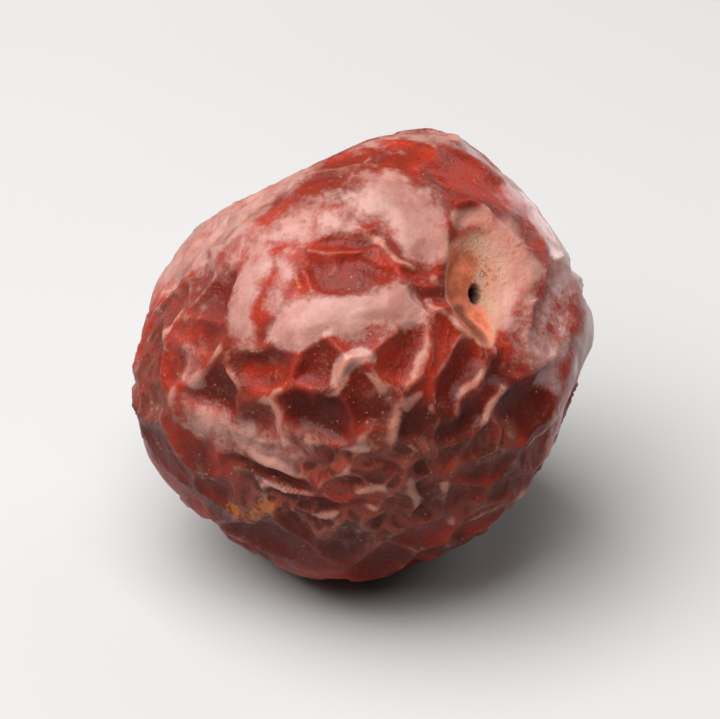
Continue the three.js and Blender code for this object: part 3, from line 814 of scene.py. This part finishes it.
    def patched(self, patches: Sequence[Bar], points: Array) -> Array:
        """How strongly the patches colour each point: full along a patch's bar, fading past its half width.

        Args:
            patches: the patches.
            points: points of the bent sphere.

        Returns:
            The strongest patch's strength at each point.
        """
        bars = self.net.bars(patches)
        away = bars.distances(points) / bars.widths
        return (bars.values * (1.0 - ease(*self.patch_edge, away))).max(axis=1)

    def bloom(self, directions: Array, points: Array) -> Array:
        """Where pale bloom and a painted sheen lie: drawn patches, a hazy side and blots on the back, less
        the clean patches.

        Args:
            directions: unit directions.
            points: the bent sphere's points in those directions.

        Returns:
            Its strength, below 0 where the skin is clean and bright.
        """
        drawn_bloom_and_sheen = self.patched(BLOOM_AND_SHEEN_PATCHES, points)
        hazy = self.hazy_strength * ease(*self.hazy_reach, directions @ unit(np.array(self.hazy_side)))
        behind = ease(*self.back_reach, directions[:, 2])
        blots = self.back_bloom * ease(*self.back_blots, self.back_waves.at(points)) * behind
        return np.maximum(np.maximum(drawn_bloom_and_sheen, hazy), blots) - self.patched(CLEAN_PATCHES, points)

    def surface(self, directions: Array) -> tuple[Array, dict[Trait, Array]]:
        """The skin's radius: body, lumps, net, crests and fine wrinkles, less the funnel, cut at the rest.

        Args:
            directions: unit directions.

        Returns:
            The radius in each direction, and the traits that the finish reads.
        """
        points = directions * self.mean_radius
        net_points = self.net.bent(points)
        hollow, lip, crest, edge = in_blocks(self.net.relief, net_points)
        share, steep, hole, drop = self.stem_end.at(directions)
        outside = ease(*self.net_start, share)
        under = directions @ self.down
        away = 1.0 - ease(*self.rest_fade, under)
        dust = self.patched(DUST_PATCHES, net_points)
        fine = self.fine_waves.ridges_at(net_points, self.fine_sharpness)
        finest = self.finest_waves.ridges_at(net_points, self.finest_sharpness)
        wrinkles = self.fine_wrinkle * (fine - self.ridge_level)
        wrinkles = wrinkles + self.finest_wrinkle * (finest - self.ridge_level)
        wrinkles = wrinkles * (1.0 - self.fold_calm * ease(*self.fold_start, hollow))
        wrinkles = wrinkles * (self.funnel_wrinkle + (1.0 - self.funnel_wrinkle) * outside)
        wrinkles = wrinkles * (1.0 + self.dust_crumple * dust)
        crest = np.maximum(crest, lip * outside)
        relief = hollow * outside + crest + wrinkles
        radius = self.body_radius(directions) + self.lump_height * self.lumps.at(points)
        radius = radius + relief * away - drop
        flat = self.rest_depth / np.maximum(under, self.rest_cosine)
        radius = np.where(under > self.rest_cosine, np.minimum(radius, flat), radius)
        traits = {
            # Bloom, with a painted sheen on folds that face the light.
            Trait.BLOOM: self.bloom(directions, net_points),
            # Painted shade.
            Trait.SHADE: self.patched(PAINTED_SHADE_PATCHES, net_points),
            # Whitish film, with a painted sheen along the right rim.
            Trait.FILM_AND_SHEEN: self.patched(FILM_AND_SHEEN_PATCHES, net_points),
            # Painted highlight.
            Trait.PAINTED_HIGHLIGHT: self.patched(PAINTED_HIGHLIGHT_PATCHES, net_points),
            Trait.DUST: dust,
            Trait.SWELL: hollow * outside * away,
            Trait.CREST: crest * away,
            Trait.EDGE: edge * away * (self.funnel_edge + (1.0 - self.funnel_edge) * outside),
            Trait.WRINKLE: self.fine_share * fine + self.finest_share * finest,
            Trait.FUNNEL: 1.0 - ease(self.tan_start + self.tan_steep * steep, self.tan_end, share),
            Trait.FUNNEL_WALL: steep * (1.0 - ease(*self.wall_end, share)),
            # Painted shade in the pin hole.
            Trait.PIN_HOLE: 1.0 - ease(*self.hole_tint, hole),
            Trait.FLAW: self.patched(CORKY_STREAKS, net_points),
        }
        return radius, traits

    def upright(self, points: Array) -> Array:
        """Turns points of the drawing upright: its up and towards become Blender's height and front.

        Args:
            points: points of the drawing.

        Returns:
            The points, turned about x.
        """
        turn = math.pi / 2.0 - self.drawing_tilt
        x, y, z = points.T
        depth = y * math.cos(turn) - z * math.sin(turn)
        height = y * math.sin(turn) + z * math.cos(turn)
        return np.stack([x, depth, height], axis=1)

    def build(self, low: Vector, high: Vector) -> bpy.types.Object:
        """Makes the skin's mesh, standing where the solid stands.

        Args:
            low: lowest corner of the solid's box, in metres.
            high: its highest corner.

        Returns:
            The skin, with its traits stored at its points.
        """
        directions = self.directions()
        radius, traits = self.surface(directions)
        points = self.upright(directions * radius[:, None]) * MILLIMETRE
        middle = (np.array(low) + np.array(high)) / 2.0
        own = (points.min(axis=0) + points.max(axis=0)) / 2.0
        points += np.array([middle[0] - own[0], middle[1] - own[1], low[2] - points[:, 2].min()])
        mesh = bpy.data.meshes.new("jujube_skin")
        mesh.from_pydata(points.tolist(), [], self.faces())
        for trait, values in traits.items():
            layer = mesh.attributes.new(trait.value, "FLOAT", "POINT")
            layer.data.foreach_set("value", values.astype(np.float32))
        mesh.shade_smooth()
        mesh.update()
        return linked("jujube_skin", mesh)

    def dress(self, skin: bpy.types.Object) -> None:
        """Gives the skin its finish."""
        skin.data.materials.append(SkinFinish().material())


class Noise(NamedTuple):
    """Soft noise: the width of its blots in millimetres, how many finer sizes it has, and their strength."""

    size: float
    detail: float
    roughness: float = 0.5


class Value:
    """A shader socket that can be used in Python sums."""

    def __init__(self, shader: Shader, socket: bpy.types.NodeSocket) -> None:
        """Wraps a socket of the shader."""
        self.shader = shader
        self.socket = socket

    def __add__(self, other: Value | float) -> Value:
        """The sum."""
        return self.shader.maths(Arithmetic.ADD, self, other)

    def __radd__(self, other: float) -> Value:
        """The sum, with the number first."""
        return self.shader.maths(Arithmetic.ADD, other, self)

    def __sub__(self, other: Value | float) -> Value:
        """The difference."""
        return self.shader.maths(Arithmetic.SUBTRACT, self, other)

    def __rsub__(self, other: float) -> Value:
        """The difference, with the number first."""
        return self.shader.maths(Arithmetic.SUBTRACT, other, self)

    def __mul__(self, other: Value | float) -> Value:
        """The product."""
        return self.shader.maths(Arithmetic.MULTIPLY, self, other)

    def __rmul__(self, other: float) -> Value:
        """The product, with the number first."""
        return self.shader.maths(Arithmetic.MULTIPLY, other, self)


class Shader:
    """A material's nodes, written as expressions."""

    def __init__(self, name: str) -> None:
        """Makes a material with one shader node in it."""
        self.material = bpy.data.materials.new(name)
        self.material.use_nodes = True
        self.tree = self.material.node_tree

    def plug(self, made: bpy.types.Node, sockets: dict[str | int, Any]) -> None:
        """Links values to a node's sockets, or sets them to numbers or colours.

        Args:
            made: the node.
            sockets: what goes into its sockets, by name or number.
        """
        for key, value in sockets.items():
            if isinstance(value, Value):
                self.tree.links.new(value.socket, made.inputs[key])
            else:
                made.inputs[key].default_value = (*value, 1.0) if isinstance(value, tuple) else value

    def node(
        self, kind: str, settings: dict[str, Any], sockets: dict[str | int, Any], output: str | int = 0
    ) -> Value:
        """Adds a node.

        Args:
            kind: the node's type.
            settings: its own settings, set first.
            sockets: what goes into its sockets, by name or number.
            output: which of its outputs is wanted.

        Returns:
            That output.
        """
        made = self.tree.nodes.new(kind)
        for key, value in settings.items():
            setattr(made, key, value)
        self.plug(made, sockets)
        return Value(self, made.outputs[output])

    def finish(self, sockets: dict[str | int, Any]) -> bpy.types.Material:
        """Plugs the shader node's own sockets and gives the finished material."""
        self.plug(self.tree.nodes["Principled BSDF"], sockets)
        return self.material

    def maths(self, operation: Arithmetic, first: Value | float, second: Value | float) -> Value:
        """One step of arithmetic."""
        return self.node("ShaderNodeMath", {"operation": operation.value}, {0: first, 1: second})

    def ease(self, value: Value, low: float, high: float) -> Value:
        """Steps from 0 to 1 as value goes from low to high, level at both ends."""
        sockets = {"Value": value, "From Min": low, "From Max": high}
        return self.node("ShaderNodeMapRange", {"interpolation_type": "SMOOTHSTEP"}, sockets)

    def mix(self, share: Value, first: Value | Colour, second: Value | Colour) -> Value:
        """Goes from the first colour to the second as share goes from 0 to 1."""
        sockets = dict(zip(MIX_SOCKETS, (share, first, second)))
        return self.node("ShaderNodeMix", {"data_type": "RGBA"}, sockets, MIX_RESULT)

    def trait(self, trait: Trait) -> Value:
        """What the skin stores under that name."""
        return self.node("ShaderNodeAttribute", {"attribute_name": trait.value}, {}, "Fac")

    def pattern(self, kind: str, size: float, sockets: dict[str | int, Any]) -> Value:
        """A pattern node whose marks are about size millimetres apart on the piece."""
        place = self.node("ShaderNodeTexCoord", {}, {}, "Object")
        return self.node(kind, {}, {"Vector": place, "Scale": 1.0 / (size * MILLIMETRE), **sockets})

    def noise(self, noise: Noise) -> Value:
        """Soft noise from 0 to 1."""
        sockets = {"Detail": noise.detail, "Roughness": noise.roughness}
        return self.pattern("ShaderNodeTexNoise", noise.size, sockets)

    def dots(self, gap: float, edge: Span) -> Value:
        """Round dots that far apart; the edge is where they start and where they are full, in gaps."""
        return self.ease(self.pattern("ShaderNodeTexVoronoi", gap, {}), *edge)


class Edge(NamedTuple):
    """How a layer sets in: between which two values, and how far each noise moves its edge."""

    low: float
    high: float
    ragged: float = 0.0
    small: float = 0.0
    grain: float = 0.0
    broad: float = 0.0


class Layer(NamedTuple):
    """A colour laid over the skin: its edge, how well it covers, and what another mask adds to that."""

    colour: Colour
    edge: Edge
    cover: float = 1.0
    change: float = 0.0


class SkinLayers:
    """The skin's colour, laid on in layers, with the traits and noises that the layers follow."""

    def __init__(self, finish: SkinFinish) -> None:
        """Starts with the ground colour.

        Args:
            finish: gives the ground colour and the noises.
        """
        self.shader = Shader("jujube_skin")
        self.traits = {trait: self.shader.trait(trait) for trait in Trait}
        self.ragged = self.shader.noise(finish.ragged_noise)
        self.small = self.shader.noise(finish.small_noise)
        self.grain = self.shader.noise(finish.grain_noise)
        self.broad = self.shader.noise(finish.broad_noise)
        self.shifts = [noise - NOISE_MIDDLE for noise in (self.ragged, self.small, self.grain, self.broad)]
        self.colour: Value | Colour = finish.ruby

    def mask(self, source: Value, edge: Edge) -> Value:
        """Sets in between the edge's two values, with the noises added to the source.

        Args:
            source: what the layer follows.
            edge: how it sets in.

        Returns:
            The mask, from 0 to 1.
        """
        for shift, amount in zip(self.shifts, (edge.ragged, edge.small, edge.grain, edge.broad)):
            if amount:
                source = source + shift * amount
        return self.shader.ease(source, edge.low, edge.high)

    def tint(self, ground: Colour, layer: Layer) -> Value:
        """The ground colour with blots of the layer's colour, by the small noise."""
        return self.shader.mix(self.mask(self.small, layer.edge) * layer.cover, ground, layer.colour)

    def lay(self, source: Value, layer: Layer, by: Value | None = None, tint: Value | None = None) -> Value:
        """Lays a layer over what is there.

        Args:
            source: what the layer follows.
            layer: the layer.
            by: a mask that changes how well it covers.
            tint: what it has in place of its own colour.

        Returns:
            The layer's own mask, before its cover thins it.
        """
        mask = self.mask(source, layer.edge)
        cover = layer.cover if by is None else layer.cover + by * layer.change
        self.colour = self.shader.mix(mask * cover, self.colour, tint or layer.colour)
        return mask


@dataclass(frozen=True)
class SkinFinish:
    """The skin: deep red and waxy, darkened by painted shade in its hollows, pale on folds and crests from
    its bloom and a painted sheen, tan in the funnel.
    """

    broad_noise: Noise = Noise(5.0, 3.0)
    ragged_noise: Noise = Noise(1.6, 6.0, 0.68)
    small_noise: Noise = Noise(0.9, 4.0)
    grain_noise: Noise = Noise(0.22, 3.0)
    ruby: Colour = (0.26, 0.020, 0.008)
    black_red: Colour = (0.045, 0.006, 0.004)
    pale_crest: Colour = (0.38, 0.15, 0.10)
    maroon: Layer = Layer((0.13, 0.018, 0.010), Edge(0.3, 0.7, ragged=0.9))
    # Painted shade: these two darken the skin in the hollows, the more the deeper.
    hollow: Layer = Layer((0.11, 0.006, 0.003), Edge(-0.05, -0.45), 0.75)
    deep: Layer = Layer(black_red, Edge(-0.4, -0.8, ragged=0.3), 0.85)
    vivid: Layer = Layer((0.29, 0.017, 0.004), Edge(-0.4, -0.9, ragged=0.5), 0.85)
    dust: Layer = Layer((0.19, 0.075, 0.05), Edge(0.2, 0.9, ragged=1.2, grain=0.6), 0.5)
    sand: Layer = Layer((0.20, 0.085, 0.05), Edge(0.52, 0.68, ragged=0.5), 0.0, 0.45)
    sand_depth: Edge = Edge(-0.1, -0.5)
    tan: Layer = Layer((0.42, 0.24, 0.16), Edge(0.3, 0.8, ragged=0.5))
    rust: Layer = Layer((0.60, 0.14, 0.068), Edge(0.45, 0.7, ragged=0.8), 0.4)
    bark: Layer = Layer((0.34, 0.075, 0.03), Edge(0.4, 0.7, ragged=1.0))
    haze_ground: float = 0.05
    haze_bloom: float = 0.75
    # Painted sheen: swollen folds, crests and wrinkle ridges are paled as if lit, and the hollows less.
    sheen_on_swell: float = 0.3
    sheen_on_crest: float = 0.4
    sheen_on_wrinkle: float = 0.3
    haze_edge: Edge = Edge(0.2, 0.86, ragged=1.3, small=0.8, grain=0.5, broad=0.6)
    # Partly the skin's waxy bloom, partly a painted sheen.
    haze_and_sheen: Layer = Layer((0.30, 0.13, 0.102), haze_edge, 0.88)
    pale: Layer = Layer((0.375, 0.182, 0.15), Edge(0.34, 0.66, ragged=0.8))
    # Painted highlight on the ridges of the fine wrinkles, and painted shade in the creases between them.
    folded: Layer = Layer(pale_crest, Edge(0.3, 0.52, ragged=0.4), 0.35, 0.5)
    creased: Layer = Layer(black_red, Edge(0.16, 0.04, ragged=0.3), 0.0, 0.75)
    peppered: Layer = Layer(black_red, Edge(0.56, 0.72, ragged=0.5), 0.5, -0.38)
    # Painted highlight along the tops of crests and lips.
    line: Layer = Layer(pale_crest, Edge(0.55, 0.95, ragged=1.2), 0.82, -0.25)
    # Painted highlight on ridges, rims and folds.
    painted_highlight: Layer = Layer((0.45, 0.205, 0.155), Edge(0.1, 0.95, ragged=1.1), 0.85)
    wall: Layer = Layer((0.60, 0.14, 0.068), Edge(0.15, 1.1, ragged=0.9, small=0.6), 0.9)
    # Painted shade over the darkest patches, thinner on the crest lines.
    shade: Layer = Layer((0.062, 0.007, 0.004), Edge(0.1, 0.9, ragged=0.5), 0.85, -0.6)
    # Partly a whitish waxy film, partly a painted sheen of the bright surroundings along the right rim.
    film_and_sheen: Layer = Layer((0.47, 0.34, 0.33), Edge(0.25, 1.15, ragged=1.6, broad=1.2), 0.65)
    cork: Layer = Layer((0.34, 0.095, 0.018), Edge(0.45, 0.95, ragged=1.6, grain=1.8), 0.85)
    speck: Layer = Layer((0.40, 0.20, 0.11), Edge(0.5, 0.62, ragged=0.5), 0.0, 0.5)
    speck_gap: float = 0.4
    speck_edge: Span = (0.24, 0.08)
    # Painted shade in the pin hole.
    hole: Colour = (0.03, 0.005, 0.002)
    roughness: float = 0.3
    haze_roughness: float = 0.15
    small_roughness: float = 0.12
    funnel_roughness: float = 0.15
    specular: float = 0.12
    coat: float = 0.03
    haze_coat: float = 0.4
    line_coat: float = 0.3
    film_coat: float = 0.8
    coat_roughness: float = 0.32
    sheen: float = 0.02
    sheen_roughness: float = 0.4
    sheen_tint: Colour = (0.9, 0.72, 0.70)
    ragged_bump: float = 0.55
    small_bump: float = 0.25
    grain_bump: float = 0.2
    haze_bump: float = 0.6
    bump_strength: float = 0.9
    bump_distance: float = 0.3

    def material(self) -> bpy.types.Material:
        """Builds the finish: the layers from the flesh outwards, then the gloss and the bumps.

        Returns:
            A material that reads the skin's traits.
        """
        skin = SkinLayers(self)
        swell, wrinkle = skin.traits[Trait.SWELL], skin.traits[Trait.WRINKLE]
        skin.lay(skin.broad, self.maroon)
        # Painted shade in the hollows.
        skin.lay(swell, self.hollow)
        skin.lay(swell, self.deep)
        skin.lay(skin.traits[Trait.BLOOM], self.vivid)
        dust = skin.lay(skin.traits[Trait.DUST], self.dust)
        skin.lay(skin.grain, self.sand, by=skin.mask(swell, self.sand_depth))
        funnel = skin.lay(skin.traits[Trait.FUNNEL], self.tan, tint=skin.tint(self.tan.colour, self.rust))
        # Hazy pale skin: the waxy bloom, and a painted sheen on swollen folds, crests and wrinkle ridges.
        amount = self.haze_ground + skin.traits[Trait.BLOOM] * self.haze_bloom + swell * self.sheen_on_swell
        amount = amount + skin.traits[Trait.CREST] * self.sheen_on_crest + wrinkle * self.sheen_on_wrinkle
        haze_and_sheen = skin.lay(amount, self.haze_and_sheen, tint=skin.tint(self.haze_and_sheen.colour, self.pale))
        # Painted highlight on the wrinkle ridges, painted shade in the creases between them.
        skin.lay(wrinkle, self.folded, by=dust)
        skin.lay(wrinkle, self.creased, by=dust)
        skin.lay(skin.grain, self.peppered, by=haze_and_sheen)
        # Painted highlight along crests and lips.
        line = skin.lay(skin.traits[Trait.EDGE], self.line, by=dust)
        # Painted highlight on ridges, rims and folds.
        skin.lay(skin.traits[Trait.PAINTED_HIGHLIGHT], self.painted_highlight)
        skin.lay(skin.traits[Trait.FUNNEL_WALL], self.wall, tint=skin.tint(self.wall.colour, self.bark))
        # Painted shade over the darkest patches, thinner on the crest lines.
        skin.lay(skin.traits[Trait.SHADE], self.shade, by=line)
        # Whitish film, with a painted sheen along the right rim.
        film_and_sheen = skin.lay(skin.traits[Trait.FILM_AND_SHEEN], self.film_and_sheen)
        skin.lay(skin.traits[Trait.FLAW], self.cork)
        skin.lay(skin.small, self.speck, by=skin.shader.dots(self.speck_gap, self.speck_edge))
        # Painted shade in the pin hole.
        colour = skin.shader.mix(skin.traits[Trait.PIN_HOLE], skin.colour, self.hole)
        roughness = self.roughness + haze_and_sheen * self.haze_roughness + skin.small * self.small_roughness
        coat = self.coat + haze_and_sheen * self.haze_coat + line * self.line_coat + film_and_sheen * self.film_coat
        height = skin.ragged * self.ragged_bump + skin.small * self.small_bump + skin.grain * self.grain_bump
        bumps = {
            "Strength": self.bump_strength,
            "Distance": self.bump_distance * MILLIMETRE,
            "Height": height * (1.0 - haze_and_sheen * self.haze_bump),
        }
        sockets = {
            "Base Color": colour,
            "Roughness": roughness + funnel * self.funnel_roughness,
            "Specular IOR Level": self.specular,
            "Coat Weight": coat,
            "Coat Roughness": self.coat_roughness,
            "Sheen Weight": self.sheen,
            "Sheen Roughness": self.sheen_roughness,
            "Sheen Tint": self.sheen_tint,
            "Normal": skin.shader.node("ShaderNodeBump", {}, bumps),
        }
        return skin.shader.finish(sockets)


@dataclass(frozen=True)
class FloorFinish:
    """A pale matte floor."""

    paper: Colour = (0.43, 0.425, 0.42)
    shade: Colour = (0.39, 0.385, 0.38)
    blots: Noise = Noise(60.0, 2.0)
    roughness: float = 0.7

    def material(self) -> bpy.types.Material:
        """Builds the finish.

        Returns:
            A material of two near whites in wide soft blots.
        """
        shader = Shader("studio_paper")
        colour = shader.mix(shader.noise(self.blots), self.paper, self.shade)
        return shader.finish({"Base Color": colour, "Roughness": self.roughness})


class Lamp(NamedTuple):
    """A soft square lamp: its place, its side and its power."""

    name: str
    place: tuple[float, float, float]
    side: float
    power: float


@dataclass
class Studio:
    """The floor, the soft light and the camera at the photograph's angle."""

    floor_half: float = 1.2
    floor_points: int = 13
    eye_distance: float = 0.33
    eye_height: float = math.radians(32.0)
    lens: float = 300.0
    nearest: float = 0.01
    aim: tuple[float, float, float] = (-0.0001, 0.0, 0.0119)
    sky: float = 0.07
    sky_colour: Colour = (1.0, 1.0, 1.0)
    lamps: tuple[Lamp, ...] = (
        Lamp("key", (-0.10, -0.07, 0.32), 0.36, 3.2),
        Lamp("rim", (0.24, 0.20, 0.15), 0.2, 0.38),
        Lamp("edge", (-0.26, 0.18, 0.12), 0.2, 0.25),
    )

    def build_floor(self) -> bpy.types.Object:
        """A flat square sheet of paper, as an even grid at height 0.

        Returns:
            The floor, with its finish.
        """
        across = np.linspace(-self.floor_half, self.floor_half, self.floor_points)
        x, y = np.meshgrid(across, across, indexing="ij")
        points = np.stack([x, y, np.zeros_like(x)], axis=-1).reshape(-1, 3)
        count = self.floor_points
        here = (np.arange(count - 1)[:, None] * count + np.arange(count - 1)).ravel()
        faces = np.stack([here, here + count, here + count + 1, here + 1], axis=-1)
        mesh = bpy.data.meshes.new("floor")
        mesh.from_pydata(points.tolist(), [], faces.tolist())
        mesh.materials.append(FloorFinish().material())
        return linked("floor", mesh)

    def build_light(self) -> None:
        """Soft lamps that all face the fruit, and a faint even sky."""
        world = bpy.data.worlds.new("studio")
        world.use_nodes = True
        background = world.node_tree.nodes["Background"]
        background.inputs["Color"].default_value = (*self.sky_colour, 1.0)
        background.inputs["Strength"].default_value = self.sky
        bpy.context.scene.world = world
        for lamp in self.lamps:
            light = bpy.data.lights.new(lamp.name, "AREA")
            light.size = lamp.side
            light.energy = lamp.power
            holder = linked(lamp.name, light)
            holder.location = lamp.place
            facing = Vector(self.aim) - Vector(lamp.place)
            holder.rotation_euler = facing.to_track_quat("-Z", "Y").to_euler()

    def build_camera(self) -> None:
        """A long lens, level from side to side, looking down on the fruit."""
        camera = bpy.data.cameras.new("camera")
        camera.lens = self.lens
        camera.clip_start = self.nearest
        holder = linked("camera", camera)
        back = Vector((0.0, -math.cos(self.eye_height), math.sin(self.eye_height)))
        holder.location = Vector(self.aim) + back * self.eye_distance
        holder.rotation_euler = (-back).to_track_quat("-Z", "Y").to_euler()
        bpy.context.scene.camera = holder
        bpy.context.scene.view_settings.view_transform = "Standard"


def main() -> None:
    """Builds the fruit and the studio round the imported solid."""
    logging.basicConfig(level=logging.INFO, format="%(name)s: %(message)s")
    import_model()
    fruit = Fruit()
    skin = fruit.build(*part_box("fruit"))
    fruit.dress(skin)
    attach(skin, "root")
    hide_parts("fruit")
    cells = len(fruit.net.cells.values)
    LOG.info("%s: %d faces, %d cells in its net", skin.name, len(skin.data.polygons), cells)
    studio = Studio()
    floor = studio.build_floor()
    LOG.info("%s: %d faces", floor.name, len(floor.data.polygons))
    studio.build_light()
    studio.build_camera()


if __name__ == "__main__":
    main()
